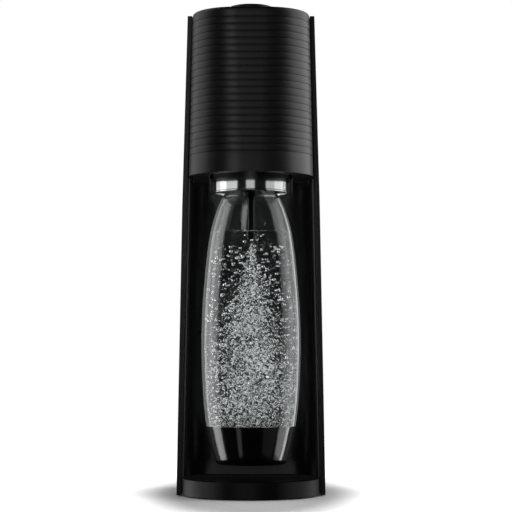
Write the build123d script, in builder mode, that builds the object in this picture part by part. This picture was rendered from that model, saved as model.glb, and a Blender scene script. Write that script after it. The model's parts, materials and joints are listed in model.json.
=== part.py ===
from build123d import *
import os
from math import cos, radians, sin

# A hand-operated soda carbonator, in millimetres. +Z is up, the front is -Y, and the origin is under the middle
# of its footprint. The tower stands behind the bottle, the ribbed head hangs over it, and the gas cylinder is in
# the tower. Pressing the button swings a lever that opens the cylinder's valve; the gas goes along the holder's
# hinge axis to the nozzle and down the tube into the bottle. The holder tilts forward to free the bottle.

os.makedirs("parts", exist_ok=True)

# ---- driving dimensions -------------------------------------------------------------------------------------

DEPTH = 185.0                   # whole machine, front to back
FOOT_H = 1.0                    # the rubber feet lift everything else this far
RIM_Z = 425.0                   # top of the tower and of the head
BUTTON_TOP = 430.0              # top of the button, and so of the machine
GAP = 0.3                       # between faces of different moving bodies
CUT_PAST = 5.0                  # how far a cutting shape runs past the face it opens

# tower
TOWER_W0 = 65.6                 # half width at the ground
TOWER_TAPER = 0.0129            # narrowing per millimetre of height
TOWER_BOW = 2.07e-5             # and per millimetre of height squared
TOWER_WALL = 4.3
REAR_R = 38.0                   # rear corners, in plan
TOWER_FRONT = (-40.0, -45.0)    # front edge of the walls at the ground and at the top
SEAM_Y = 54.0                   # joint between the side panels and the back cover

# base
BASE_TOP = 15.7
BASE_W = 60.1                   # half width
BASE_FRONT_R = 60.1             # half-round front
BASE_WALL = 3.0

# head
HEAD_BOTTOM = 281.5
HEAD_FRONT = -91.0
HEAD_BACK = 13.0
HEAD_W = (54.9, 51.5)           # half width at the bottom and at the top
HEAD_R = (48.0, 40.0)           # front corners at the bottom and at the top
HEAD_WALL = 3.0
RIBS = 20
RIB_PITCH = 6.15
RIB_TOP_Z = 416.5               # highest groove
GROOVE = (0.7, 0.9)             # depth and height of the groove between two ribs

# button
BUTTON_Y = -58.0
BUTTON_R = 20.0
BUTTON_STEM_R = 5.0

# bottle and holder
BOTTLE_Y = -36.0
BOTTLE_WALL = 2.2
MOUTH_Z = 290.0
NECK_R = 17.0
CUP_TOP = 61.5
CUP_BOTTOM = 28.0
RING_R = 33.1                   # steel ring, outside
RING_Z = (267.4, 297.0)
TUBE_R = 3.7
TUBE_TIP = 224.5
HOLDER_PIVOT = (0.0, 306.0)     # y and z of the hinge axis
PIVOT_PIN_R = 3.0

# gas cylinder and its valve
GAS_Y = 52.0
GAS_R = 30.0
GAS_BOTTOM = 24.5
NECK_TOP = 338.0
VALVE_TOP = 378.2
PIN_TOP = 391.0
PIN_R = 2.5
VALVE_R = 13.0

# levers
FULCRUM = (77.0, 398.0)         # y and z
LEVER_Z = (396.0, 399.0)
LEVER_W = 8.0
LOCK_PIVOT = (52.0, 352.0)      # y and z
LOCK_ARM = 28.0
LOCK_REST = -42.0               # degrees below level, pointing back

# chassis
WEB_Y = (16.2, 18.2)
FLANGE_X = (35.0, 37.0)
RUN = 0.05                      # radial clearance of a running fit


# ---- shapes used more than once -----------------------------------------------------------------------------

def block(x, y, z, mode=Mode.ADD):
    """A box given by its limits along X, Y and Z."""
    with Locations(((x[0] + x[1]) / 2, (y[0] + y[1]) / 2, (z[0] + z[1]) / 2)):
        Box(x[1] - x[0], y[1] - y[0], z[1] - z[0], mode=mode)


def rod(radius, z, at, mode=Mode.ADD):
    """An upright cylinder at (x, y), from z[0] to z[1]."""
    with Locations((at[0], at[1], (z[0] + z[1]) / 2)):
        Cylinder(radius, z[1] - z[0], mode=mode)


def cross_rod(radius, x, yz, mode=Mode.ADD):
    """A cylinder along X, from x[0] to x[1]."""
    with Locations(Location(((x[0] + x[1]) / 2, yz[0], yz[1]), (0, 90, 0))):
        Cylinder(radius, x[1] - x[0], mode=mode)


def turned(points, axis_y, mode=Mode.ADD):
    """A solid turned about an upright axis from its (radius, z) outline."""
    with BuildSketch(Plane.XZ.offset(-axis_y)) as profile:
        with BuildLine():
            Polyline(*points, close=True)
        make_face()
    revolve(profile.sketch, axis=Axis((0, axis_y, 0), (0, 0, 1)), mode=mode)


def ring(outer, inner, z, axis_y):
    """A turned sleeve or washer."""
    turned([(inner, z[0]), (outer, z[0]), (outer, z[1]), (inner, z[1])], axis_y)


def save(name, builder):
    """Labels a finished piece and writes it under its name."""
    builder.part.label = name
    export_step(builder.part, f"parts/{name}.step")


def mirrored(x):
    """Limits along X of the same piece on the other side."""
    return (-x[1], -x[0])


# ---- outlines in plan ---------------------------------------------------------------------------------------

def tower_half_width(z):
    return TOWER_W0 - TOWER_TAPER * z - TOWER_BOW * z * z


def quarter(centre, radius, start_angle):
    """A quarter circle, anticlockwise from start_angle in degrees."""
    ends = [start_angle + turn for turn in (0, 45, 90)]
    points = [(centre[0] + radius * cos(radians(a)), centre[1] + radius * sin(radians(a))) for a in ends]
    ThreePointArc(*points)


def round_backed(z, half_width, front, back, radius):
    """A plan with a straight front and two round rear corners."""
    with BuildSketch(Plane.XY.offset(z)) as plan:
        with BuildLine():
            Line((-half_width, front), (half_width, front))
            Line((half_width, front), (half_width, back - radius))
            quarter((half_width - radius, back - radius), radius, 0)
            Line((half_width - radius, back), (radius - half_width, back))
            quarter((radius - half_width, back - radius), radius, 90)
            Line((-half_width, back - radius), (-half_width, front))
        make_face()
    return plan.sketch


def tower_plan(z, inset):
    """The tower's outline at a height, drawn in by inset."""
    front = TOWER_FRONT[0] + (TOWER_FRONT[1] - TOWER_FRONT[0]) * z / RIM_Z
    if inset:
        front -= CUT_PAST       # the inner outline runs out past the front, so that cutting it leaves the bay open
    return round_backed(z, tower_half_width(z) - inset, front, DEPTH / 2 - inset, REAR_R - inset)


BAY_BACK = 14.0                 # front face of the bay's back wall
BAY_R = 24.0                    # its rear corners
LINER_WALL = 1.8
LINER_FRONT = -34.0


def bay_plan(z, outset):
    """The bottle bay's outline at a height, drawn out by outset."""
    half_width = tower_half_width(z) - TOWER_WALL - 0.25 - LINER_WALL + outset
    front = LINER_FRONT if outset else LINER_FRONT - CUT_PAST
    return round_backed(z, half_width, front, BAY_BACK + outset, BAY_R + outset)


def head_plan(z, inset, back=HEAD_BACK):
    """The head's outline at a height, drawn in by inset: round front corners, straight back."""
    share = (z - HEAD_BOTTOM) / (RIM_Z - HEAD_BOTTOM)
    half_width = HEAD_W[0] + (HEAD_W[1] - HEAD_W[0]) * share - inset
    radius = HEAD_R[0] + (HEAD_R[1] - HEAD_R[0]) * share - inset
    front = HEAD_FRONT + inset
    with BuildSketch(Plane.XY.offset(z)) as plan:
        with BuildLine():
            Line((half_width, back), (-half_width, back))
            Line((-half_width, back), (-half_width, front + radius))
            quarter((radius - half_width, front + radius), radius, 180)
            Line((radius - half_width, front), (half_width - radius, front))
            quarter((half_width - radius, front + radius), radius, 270)
            Line((half_width, front + radius), (half_width, back))
        make_face()
    return plan.sketch


def base_plan(z, inset):
    """The base's outline: half-round front, straight sides, round rear corners."""
    half_width = BASE_W - inset
    front_centre = -DEPTH / 2 + BASE_FRONT_R
    back = DEPTH / 2 - TOWER_WALL - 0.7 - inset
    radius = REAR_R - TOWER_WALL - 0.7 - inset
    with BuildSketch(Plane.XY.offset(z)) as plan:
        with BuildLine():
            ThreePointArc((-half_width, front_centre), (0, -DEPTH / 2 + inset), (half_width, front_centre))
            Line((half_width, front_centre), (half_width, back - radius))
            quarter((half_width - radius, back - radius), radius, 0)
            Line((half_width - radius, back), (radius - half_width, back))
            quarter((radius - half_width, back - radius), radius, 90)
            Line((-half_width, back - radius), (-half_width, front_centre))
        make_face()
    return plan.sketch


SCREW_HEAD = (2.8, 1.4)         # radius and height
SCREW_SHANK_R = 1.45


def screw(at, seat, length, up):
    """A pan-head screw whose head sits on the plane z=seat; its shank goes the other way."""
    turn = 1 if up else -1
    head = sorted((seat, seat + turn * SCREW_HEAD[1]))
    shank = sorted((seat, seat - turn * length))
    rod(SCREW_HEAD[0], head, at)
    rod(SCREW_SHANK_R, shank, at)


# ---- base ---------------------------------------------------------------------------------------------------

FEET = [(-38, -62), (38, -62), (-40, 70), (40, 70)]
CASE_SCREWS = [(-28, -58), (28, -58), (-48, 40), (48, 40)]
CHASSIS_SCREWS = [(-27, 22.5), (27, 22.5)]
PAN_TOP = FOOT_H + 2.5
FOOT_PLATE = (BASE_TOP, BASE_TOP + 2)


def make_base():
    with BuildPart() as base_deck:
        extrude(base_plan(FOOT_H, 0), amount=BASE_TOP - FOOT_H)
        top_edges = base_deck.edges().group_by(Axis.Z)[-1]
        chamfer(top_edges, 0.6)
        extrude(base_plan(FOOT_H, BASE_WALL), amount=BASE_TOP - BASE_WALL - FOOT_H, mode=Mode.SUBTRACT)
        for at in CASE_SCREWS + CHASSIS_SCREWS:
            rod(4, (PAN_TOP, BASE_TOP - BASE_WALL), at)
        for at in CASE_SCREWS:
            rod(1.5, (PAN_TOP, BASE_TOP - BASE_WALL), at, Mode.SUBTRACT)
        for at in CHASSIS_SCREWS:
            rod(1.5, (PAN_TOP + 1, BASE_TOP + 1), at, Mode.SUBTRACT)
    save("base_deck", base_deck)

    with BuildPart() as base_pan:
        extrude(base_plan(FOOT_H, BASE_WALL + 0.1), amount=PAN_TOP - FOOT_H)
        for at in CASE_SCREWS:
            rod(3.2, (FOOT_H, FOOT_H + 1.5), at, Mode.SUBTRACT)
            rod(1.7, (FOOT_H, PAN_TOP), at, Mode.SUBTRACT)
        for at in FEET:
            rod(5, (FOOT_H, FOOT_H + 1), at, Mode.SUBTRACT)
    save("base_pan", base_pan)

    with BuildPart() as rubber_feet:
        for at in FEET:
            rod(7, (0, FOOT_H), at)
            rod(5, (FOOT_H, FOOT_H + 1), at)
    save("rubber_feet", rubber_feet)

    with BuildPart() as case_screws:
        for at in CASE_SCREWS:
            screw(at, FOOT_H + 1.5, 7.5, up=False)
    save("case_screws", case_screws)


# ---- tower --------------------------------------------------------------------------------------------------

LATCH_Z = (405.0, 417.0)
LATCH_X = 12.0


def make_tower():
    levels = (FOOT_H, RIM_Z / 2, RIM_Z)
    outer_plans = [tower_plan(z, 0) for z in levels]
    inner_plans = [tower_plan(z, TOWER_WALL) for z in (FOOT_H - 1, RIM_Z / 2, RIM_Z + 1)]
    with BuildPart() as shell:
        loft(outer_plans)
        loft(inner_plans, mode=Mode.SUBTRACT)
    far = 300
    for name, x in (("left_side_panel", (-far, 0)), ("right_side_panel", (0, far))):
        with BuildPart() as panel:
            add(shell.part)
            block(x, (-far, SEAM_Y - GAP), (-far, 2 * far), Mode.INTERSECT)
        save(name, panel)

    with BuildPart() as back_cover:
        add(shell.part)
        block((-far, far), (SEAM_Y + GAP, far), (-far, 2 * far), Mode.INTERSECT)
        block((-LATCH_X - 0.4, LATCH_X + 0.4), (80, 100), (LATCH_Z[0] - 0.4, LATCH_Z[1] + 0.4), Mode.SUBTRACT)
    save("back_cover", back_cover)

    inside = DEPTH / 2 - TOWER_WALL
    with BuildPart() as cover_latch:
        block((-LATCH_X, LATCH_X), (inside - 1, DEPTH / 2 - 0.2), LATCH_Z)
        fillet(cover_latch.edges().filter_by(Axis.Z), 0.8)
        block((-LATCH_X - 2, LATCH_X + 2), (inside - 3, inside - GAP), (LATCH_Z[0] - 2, LATCH_Z[1] + 2))
    save("cover_latch", cover_latch)

    with BuildPart() as bay_liner:
        loft([bay_plan(z, LINER_WALL) for z in (BASE_TOP + 0.1, 150, HEAD_BOTTOM - 0.2)])
        loft([bay_plan(z, 0) for z in (BASE_TOP - 1, 150, HEAD_BOTTOM + 1)], mode=Mode.SUBTRACT)
    save("bay_liner", bay_liner)

    with BuildPart() as top_cap:
        cap_inset = TOWER_WALL + 0.5
        half_width = tower_half_width(RIM_Z) - cap_inset
        plan = round_backed(RIM_Z - 3.5, half_width, HEAD_BACK + 0.4, DEPTH / 2 - cap_inset, REAR_R - cap_inset)
        extrude(plan, amount=3.5)
        fillet(top_cap.edges().group_by(Axis.Z)[-1], 0.5)
    save("top_cap", top_cap)


# ---- head ---------------------------------------------------------------------------------------------------

APERTURE_X = 37.6
APERTURE_Y = (-84.6, 3.0)
FLOOR_T = 3.0


def make_head():
    with BuildPart() as head_cover:
        loft([head_plan(HEAD_BOTTOM, 0), head_plan(RIM_Z, 0)], ruled=True)
        rim = head_cover.edges().group_by(Axis.Z)[-1].filter_by(lambda e: e.center().Y < HEAD_BACK - 1)
        fillet(rim, 2.5)
        for i in range(RIBS):
            z = RIB_TOP_Z - i * RIB_PITCH
            with BuildSketch(Plane.XY.offset(z)) as groove:
                add(head_plan(z, -3))
                add(head_plan(z, GROOVE[0]), mode=Mode.SUBTRACT)
            extrude(amount=-GROOVE[1], mode=Mode.SUBTRACT)
        inside = [head_plan(z, HEAD_WALL, HEAD_BACK + 5) for z in (HEAD_BOTTOM - 1, RIM_Z - HEAD_WALL)]
        loft(inside, ruled=True, mode=Mode.SUBTRACT)
        rod(BUTTON_R + 0.6, (RIM_Z - 5, RIM_Z + 5), (0, BUTTON_Y), Mode.SUBTRACT)
    save("head_cover", head_cover)

    with BuildPart() as head_floor:
        floor_plans = [head_plan(z, HEAD_WALL + 0.15, HEAD_BACK - 0.2) for z in (HEAD_BOTTOM, HEAD_BOTTOM + FLOOR_T)]
        loft(floor_plans, ruled=True)
        middle = (APERTURE_Y[0] + APERTURE_X, APERTURE_Y[1])
        with BuildSketch(Plane.XY.offset(HEAD_BOTTOM)) as aperture:
            with Locations((0, middle[0])):
                Circle(APERTURE_X)
            with Locations((0, (middle[0] + middle[1]) / 2)):
                Rectangle(2 * APERTURE_X, middle[1] - middle[0])
        extrude(amount=FLOOR_T, mode=Mode.SUBTRACT)
    save("head_floor", head_floor)


# ---- button, lever and gas valve ----------------------------------------------------------------------------

CUP_FLOOR = (404.0, 406.5)
PAD_TOP = 401.5
PLATE_Z = 424.0
SPRING_R = 9.0
SPRING_WIRE = 0.8


def make_button():
    with BuildPart() as carbonation_button:
        rod(BUTTON_R, (416, BUTTON_TOP), (0, BUTTON_Y))
        fillet(carbonation_button.edges().group_by(Axis.Z)[-1], 2.2)
        rod(BUTTON_R - 2, (410, PLATE_Z), (0, BUTTON_Y), Mode.SUBTRACT)
        rod(BUTTON_STEM_R, (PAD_TOP + GAP, PLATE_Z), (0, BUTTON_Y))
    save("carbonation_button", carbonation_button)

    with BuildPart() as button_housing:
        rod(BUTTON_R + 2.6, (CUP_FLOOR[0], RIM_Z - HEAD_WALL - 0.1), (0, BUTTON_Y))
        rod(BUTTON_R + 0.5, (CUP_FLOOR[1], RIM_Z), (0, BUTTON_Y), Mode.SUBTRACT)
        rod(BUTTON_STEM_R + RUN, (CUP_FLOOR[0], RIM_Z), (0, BUTTON_Y), Mode.SUBTRACT)
    save("button_housing", button_housing)

    turns = 5
    bottom = CUP_FLOOR[1] + SPRING_WIRE + 0.1
    height = PLATE_Z - SPRING_WIRE - 0.3 - bottom
    coil = Helix(height / turns, height, SPRING_R, center=(0, BUTTON_Y, bottom))
    with BuildPart() as button_spring:
        with BuildSketch(Plane(origin=coil @ 0, z_dir=coil % 0)):
            Circle(SPRING_WIRE)
        sweep(path=coil)
    save("button_spring", button_spring)

    with BuildPart() as actuating_lever:
        block((-LEVER_W, LEVER_W), (BUTTON_Y - 8, FULCRUM[0]), LEVER_Z)
        for x in ((-LEVER_W, 2 - LEVER_W), (LEVER_W - 2, LEVER_W)):
            block(x, (BUTTON_Y + 10, FULCRUM[0]), (LEVER_Z[1], LEVER_Z[1] + 2.5))
        block((-5, 5), (BUTTON_Y - 5, BUTTON_Y + 5), (LEVER_Z[1], PAD_TOP))
        block((-4, 4), (GAS_Y - 2, GAS_Y + 2), (PIN_TOP + GAP, LEVER_Z[0]))
        cross_rod(5, (-LEVER_W, LEVER_W), FULCRUM)
        cross_rod(PIN_R + RUN, (-LEVER_W, LEVER_W), FULCRUM, Mode.SUBTRACT)
    save("actuating_lever", actuating_lever)

    with BuildPart() as fulcrum_pin:
        cross_rod(PIN_R, (-FLANGE_X[1] - 0.5, FLANGE_X[1] + 0.5), FULCRUM)
    save("fulcrum_pin", fulcrum_pin)

    block_z = (VALVE_TOP - 3.7, VALVE_TOP + 9.8)
    with BuildPart() as valve_block:
        block((-17, 17), (GAS_Y - 16, GAS_Y + 16), block_z)
        block((-FLANGE_X[0], FLANGE_X[0]), (GAS_Y - 16, GAS_Y + 8), (block_z[1] - 4, block_z[1]))
        rod(VALVE_R + 0.3, (block_z[0], VALVE_TOP + 1.8), (0, GAS_Y), Mode.SUBTRACT)
        rod(PIN_R + 0.7, block_z, (0, GAS_Y), Mode.SUBTRACT)
    save("valve_block", valve_block)

    with BuildPart() as valve_block_seal:
        ring(9, 5, (VALVE_TOP + GAP, VALVE_TOP + 1.8), GAS_Y)
        fillet(valve_block_seal.edges().group_by(Axis.Z)[0], 0.5)
    save("valve_block_seal", valve_block_seal)


# ---- gas cylinder -------------------------------------------------------------------------------------------

def make_cylinder():
    shoulder_z = 292
    neck_foot = 322
    wall = 3.2
    with BuildPart() as gas_cylinder:
        with BuildSketch(Plane.XZ.offset(-GAS_Y)) as profile:
            with BuildLine():
                Line((0, GAS_BOTTOM + 5), (20, GAS_BOTTOM))
                Line((20, GAS_BOTTOM), (GAS_R - 4, GAS_BOTTOM))
                RadiusArc((GAS_R - 4, GAS_BOTTOM), (GAS_R, GAS_BOTTOM + 4), -4)
                Line((GAS_R, GAS_BOTTOM + 4), (GAS_R, shoulder_z))
                Spline((GAS_R, shoulder_z), (GAS_R - 8, shoulder_z + 22), (VALVE_R, neck_foot),
                       tangents=((0, 1), (-0.7, 1)))
                Line((VALVE_R, neck_foot), (VALVE_R, NECK_TOP))
                Line((VALVE_R, NECK_TOP), (7, NECK_TOP))
                Line((7, NECK_TOP), (7, shoulder_z + 14))
                Line((7, shoulder_z + 14), (GAS_R - wall, shoulder_z - 4))
                Line((GAS_R - wall, shoulder_z - 4), (GAS_R - wall, GAS_BOTTOM + 8))
                Line((GAS_R - wall, GAS_BOTTOM + 8), (0, GAS_BOTTOM + 9))
                Line((0, GAS_BOTTOM + 9), (0, GAS_BOTTOM + 5))
            make_face()
        revolve(axis=Axis((0, GAS_Y, 0), (0, 0, 1)))
    save("gas_cylinder", gas_cylinder)

    bore = PIN_R + RUN
    with BuildPart() as cylinder_valve:
        turned([(bore, NECK_TOP - 18), (6.9, NECK_TOP - 18), (6.9, NECK_TOP), (11.5, NECK_TOP),
                (11.5, NECK_TOP + 24), (VALVE_R, NECK_TOP + 24), (VALVE_R, NECK_TOP + 28),
                (11.5, NECK_TOP + 29.5), (11.5, NECK_TOP + 33), (VALVE_R, NECK_TOP + 34.5),
                (VALVE_R, VALVE_TOP - 1), (VALVE_R - 1, VALVE_TOP), (bore, VALVE_TOP)], GAS_Y)
    save("cylinder_valve", cylinder_valve)

    with BuildPart() as valve_pin:
        rod(PIN_R, (NECK_TOP - 12, PIN_TOP), (0, GAS_Y))
        fillet(valve_pin.edges().group_by(Axis.Z)[-1], 0.8)
    save("valve_pin", valve_pin)

    saddle_z = (NECK_TOP + 19.5, NECK_TOP + 23.8)
    with BuildPart() as lifting_saddle:
        block((-30.5, 30.5), (GAS_Y - 17, GAS_Y + 12), saddle_z)
        fillet(lifting_saddle.edges().filter_by(Axis.Z), 4)
        rod(11.8, saddle_z, (0, GAS_Y), Mode.SUBTRACT)
        block((-11.8, 11.8), (GAS_Y, GAS_Y + 20), saddle_z, Mode.SUBTRACT)
    save("lifting_saddle", lifting_saddle)

    cradle_z = FOOT_PLATE[1]
    with BuildPart() as cylinder_cradle:
        rod(GAS_R + 2.4, (cradle_z, cradle_z + 1.2), (0, GAS_Y))
        rod(GAS_R + 2.4, (cradle_z + 1.2, cradle_z + 14), (0, GAS_Y))
        rod(GAS_R + 0.6, (cradle_z + 1.2, cradle_z + 14), (0, GAS_Y), Mode.SUBTRACT)
        block((-40, 40), (GAS_Y, GAS_Y + 40), (cradle_z + 1.2, cradle_z + 15), Mode.SUBTRACT)
    save("cylinder_cradle", cylinder_cradle)

    tip = (LOCK_PIVOT[0] + LOCK_ARM * cos(radians(LOCK_REST)), LOCK_PIVOT[1] + LOCK_ARM * sin(radians(LOCK_REST)))
    arm_x = (31.3, 33.8)
    with BuildPart() as cylinder_lock_lever:
        for x in (arm_x, mirrored(arm_x)):
            with BuildSketch(Plane.YZ.offset(x[0])) as arm:
                with Locations(((LOCK_PIVOT[0] + tip[0]) / 2, (LOCK_PIVOT[1] + tip[1]) / 2)):
                    SlotCenterToCenter(LOCK_ARM, 9, rotation=LOCK_REST)
            extrude(arm.sketch, amount=x[1] - x[0])
        cross_rod(3, (-arm_x[0], arm_x[0]), tip)
        for x in (arm_x, mirrored(arm_x)):
            cross_rod(PIN_R + RUN, x, LOCK_PIVOT, Mode.SUBTRACT)
    save("cylinder_lock_lever", cylinder_lock_lever)

    pin_x = (arm_x[0] - 0.2, FLANGE_X[1] + 0.5)
    with BuildPart() as lock_lever_pins:
        for x in (pin_x, mirrored(pin_x)):
            cross_rod(PIN_R, x, LOCK_PIVOT)
    save("lock_lever_pins", lock_lever_pins)


# ---- chassis ------------------------------------------------------------------------------------------------

EAR_X = (28.0, 31.0)
FLANGE_BACK = (60.0, 82.0)


def make_chassis():
    foot = FOOT_PLATE
    web_top = 372
    top = 411
    with BuildPart() as chassis:
        block((-FLANGE_X[1], FLANGE_X[1]), WEB_Y, (foot[0], web_top))
        block((-FLANGE_X[1], FLANGE_X[1]), (WEB_Y[0], FLANGE_BACK[0]), foot)
        for x in (FLANGE_X, mirrored(FLANGE_X)):
            with BuildSketch(Plane.YZ.offset(x[0])) as side:
                with BuildLine():
                    Polyline((WEB_Y[0], foot[0]), (FLANGE_BACK[0], foot[0]), (FLANGE_BACK[0], web_top),
                             (FLANGE_BACK[1], 386), (FLANGE_BACK[1], top), (FLANGE_BACK[1] - 12, top),
                             (WEB_Y[0], top - 12), close=True)
                make_face()
            extrude(side.sketch, amount=x[1] - x[0])
        for x in (EAR_X, mirrored(EAR_X)):
            block(x, (-8, WEB_Y[0]), (HOLDER_PIVOT[1] - 10, HOLDER_PIVOT[1] + 10))
            cross_rod(PIVOT_PIN_R + 0.02, x, HOLDER_PIVOT, Mode.SUBTRACT)
        for x in (FLANGE_X, mirrored(FLANGE_X)):
            cross_rod(PIN_R + 0.02, x, FULCRUM, Mode.SUBTRACT)
            cross_rod(PIN_R + 0.02, x, LOCK_PIVOT, Mode.SUBTRACT)
        for at in CHASSIS_SCREWS:
            rod(1.6, foot, at, Mode.SUBTRACT)
    save("chassis", chassis)

    with BuildPart() as chassis_screws:
        for at in CHASSIS_SCREWS:
            screw(at, foot[1], 10.5, up=True)
    save("chassis_screws", chassis_screws)


# ---- gas path to the holder ---------------------------------------------------------------------------------

LINE_X = 9.0
LINE_Y = 11.0
SWIVEL_R = 4.4


def make_gas_path():
    pivot_y, pivot_z = HOLDER_PIVOT
    with BuildPart() as swivel_fitting:
        cross_rod(SWIVEL_R, (4, 14), HOLDER_PIVOT)
        block((4, 14), (pivot_y, WEB_Y[0]), (pivot_z - SWIVEL_R, pivot_z + SWIVEL_R))
    save("swivel_fitting", swivel_fitting)

    line_z = VALVE_TOP + 4
    with BuildPart() as gas_line:
        with BuildLine() as route:
            FilletPolyline((LINE_X, LINE_Y, pivot_z + SWIVEL_R), (LINE_X, LINE_Y, line_z), (LINE_X, GAS_Y - 16, line_z),
                           radius=9)
        with BuildSketch(Plane(origin=(LINE_X, LINE_Y, pivot_z + SWIVEL_R), z_dir=(0, 0, 1))):
            Circle(1.6)
        sweep(path=route.line)
    save("gas_line", gas_line)

    with BuildPart() as nozzle_inlet_pipe:
        cross_rod(SWIVEL_R + 0.2, (-8, 4 - GAP), HOLDER_PIVOT)
        with Locations(Location((-2, (pivot_y + BOTTLE_Y) / 2 + 4.5, pivot_z), (90, 0, 0))):
            Cylinder(2.5, -(pivot_y + BOTTLE_Y) - 9)
    save("nozzle_inlet_pipe", nozzle_inlet_pipe)


# ---- bottle holder ------------------------------------------------------------------------------------------

ARM_X = (22.6, 27.4)
TAB_X = (RING_R + 0.2, 36.4)
COLLAR_R = (26.6, 31.75)
DISC_Z = (RING_Z[1] + 0.1, 301.0)
SEAL_Z = (MOUTH_Z + GAP, 293.3)


def make_holder():
    pivot_y, pivot_z = HOLDER_PIVOT
    centre = (0, BOTTLE_Y)
    with BuildPart() as holder_yoke:
        rod(TAB_X[1], DISC_Z, centre)
        rod(COLLAR_R[1], (RING_Z[0] + 1, DISC_Z[0]), centre)
        for x in (TAB_X, mirrored(TAB_X)):
            block(x, (BOTTLE_Y - 11, BOTTLE_Y + 11), (RING_Z[0] - 0.4, DISC_Z[1]))
        rod(COLLAR_R[0], (RING_Z[0], 294), centre, Mode.SUBTRACT)
        rod(19.6, (290, 305), centre, Mode.SUBTRACT)
        for x in (ARM_X, mirrored(ARM_X)):
            block(x, (BOTTLE_Y + 8, pivot_y), (DISC_Z[0], pivot_z + 8))
            cross_rod(8, x, HOLDER_PIVOT)
        for x in (ARM_X, mirrored(ARM_X)):
            cross_rod(PIVOT_PIN_R + RUN, x, HOLDER_PIVOT, Mode.SUBTRACT)
    save("holder_yoke", holder_yoke)

    pin_x = (ARM_X[0] - 0.5, EAR_X[1] + 0.5)
    with BuildPart() as holder_pins:
        for x in (pin_x, mirrored(pin_x)):
            cross_rod(PIVOT_PIN_R, x, HOLDER_PIVOT)
    save("holder_pins", holder_pins)

    with BuildPart() as holder_ring:
        ring(RING_R, COLLAR_R[1] + 0.1, RING_Z, BOTTLE_Y)
        fillet(holder_ring.edges().group_by(Axis.Z)[0].sort_by(SortBy.LENGTH)[-1], 0.5)
    save("holder_ring", holder_ring)

    with BuildPart() as nozzle_body:
        turned([(2, SEAL_Z[1]), (19.5, SEAL_Z[1]), (19.5, DISC_Z[1]), (22.4, DISC_Z[1]), (22.4, DISC_Z[1] + 3),
                (12, DISC_Z[1] + 3), (12, 316), (10, 318), (0, 318), (0, 310), (2, 310)], BOTTLE_Y)
    save("nozzle_body", nozzle_body)

    with BuildPart() as bottle_seal:
        ring(18, 10, SEAL_Z, BOTTLE_Y)
        fillet(bottle_seal.edges().group_by(Axis.Z)[0], 0.8)
    save("bottle_seal", bottle_seal)

    with BuildPart() as tube_nut:
        with BuildSketch(Plane.XY.offset(287)):
            with Locations(centre):
                RegularPolygon(7.5, 6)
                Circle(TUBE_R + 0.02, mode=Mode.SUBTRACT)
        extrude(amount=SEAL_Z[1] - 287)
    save("tube_nut", tube_nut)

    with BuildPart() as carbonation_tube:
        ring(TUBE_R, 1.2, (TUBE_TIP, SEAL_Z[1]), BOTTLE_Y)
        fillet(carbonation_tube.edges().group_by(Axis.Z)[0].sort_by(SortBy.LENGTH)[-1], 1)
    save("carbonation_tube", carbonation_tube)

    with BuildPart() as relief_valve:
        with BuildSketch(Plane.XY.offset(DISC_Z[1] + 3)):
            with Locations((0, BOTTLE_Y - 17.3)):
                RegularPolygon(5, 6)
        extrude(amount=5)
        rod(3.6, (DISC_Z[1] + 8, DISC_Z[1] + 17), (0, BOTTLE_Y - 17.3))
    save("relief_valve", relief_valve)


# ---- bottle -------------------------------------------------------------------------------------------------

BELLY = [(39.3, CUP_TOP), (43.0, 100), (43.9, 135), (41.4, 190), (35.7, 234), (27.0, 260.6), (19.6, 273)]
CUP_SIDE = [(31.9, CUP_BOTTOM + 3.5), (35.2, 44.5), (39.3, CUP_TOP)]
CUP_WALL = 1.6


def inward(points, amount):
    """The same points at a smaller radius."""
    return [(radius - amount, z) for radius, z in points]


def make_bottle():
    flange_z = (279.0, 281.5)
    cup_foot = (CUP_SIDE[0][0] - 3, CUP_BOTTOM)
    with BuildPart() as bottle_shell:
        with BuildSketch(Plane.XZ.offset(-BOTTLE_Y)):
            with BuildLine():
                inner = inward(BELLY, BOTTLE_WALL)
                skirt = inward(CUP_SIDE, CUP_WALL + 0.05)
                skirt_in = inward(skirt, BOTTLE_WALL)
                Spline(*BELLY)
                Polyline(BELLY[-1], (NECK_R, 276.5), (NECK_R, flange_z[0]), (NECK_R + 2.4, flange_z[0]),
                         (NECK_R + 2.4, flange_z[1]), (NECK_R, flange_z[1]), (NECK_R, MOUTH_Z),
                         (NECK_R - BOTTLE_WALL, MOUTH_Z), (NECK_R - BOTTLE_WALL, 276), inner[-1])
                Spline(*reversed(inner))
                Polyline(inner[0], skirt_in[2], skirt_in[1], (skirt_in[0][0], 35), (14, 37.5), (0, 38), (0, 35.5),
                         (14, 35), (20, 31.7), skirt[0], skirt[1], skirt[2], BELLY[0])
            make_face()
        revolve(axis=Axis((0, BOTTLE_Y, 0), (0, 0, 1)))
    save("bottle_shell", bottle_shell)

    with BuildPart() as bottle_base_cup:
        with BuildSketch(Plane.XZ.offset(-BOTTLE_Y)):
            with BuildLine():
                inner = inward(CUP_SIDE, CUP_WALL)
                Spline(*CUP_SIDE)
                Polyline(CUP_SIDE[-1], inner[-1], inner[1], inner[0], (20, 31.5), (14, CUP_BOTTOM + 5.5),
                         (0, CUP_BOTTOM + 6), (0, CUP_BOTTOM + 4), (14, CUP_BOTTOM + 3.5), (22, CUP_BOTTOM), cup_foot)
                RadiusArc(cup_foot, CUP_SIDE[0], -3.6)
            make_face()
        revolve(axis=Axis((0, BOTTLE_Y, 0), (0, 0, 1)))
    save("bottle_base_cup", bottle_base_cup)


make_base()
make_tower()
make_head()
make_button()
make_cylinder()
make_chassis()
make_gas_path()
make_holder()
make_bottle()
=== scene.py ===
"""Looks of a hand-operated soda carbonator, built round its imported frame.

Every new piece is placed from the frame's own boxes. The visible casings, the button, the ring, the bottle with
its water and bubbles and the tube are modelled here; the mechanism inside keeps its frame meshes and gets finishes.
"""

import json
import math
import random

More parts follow.
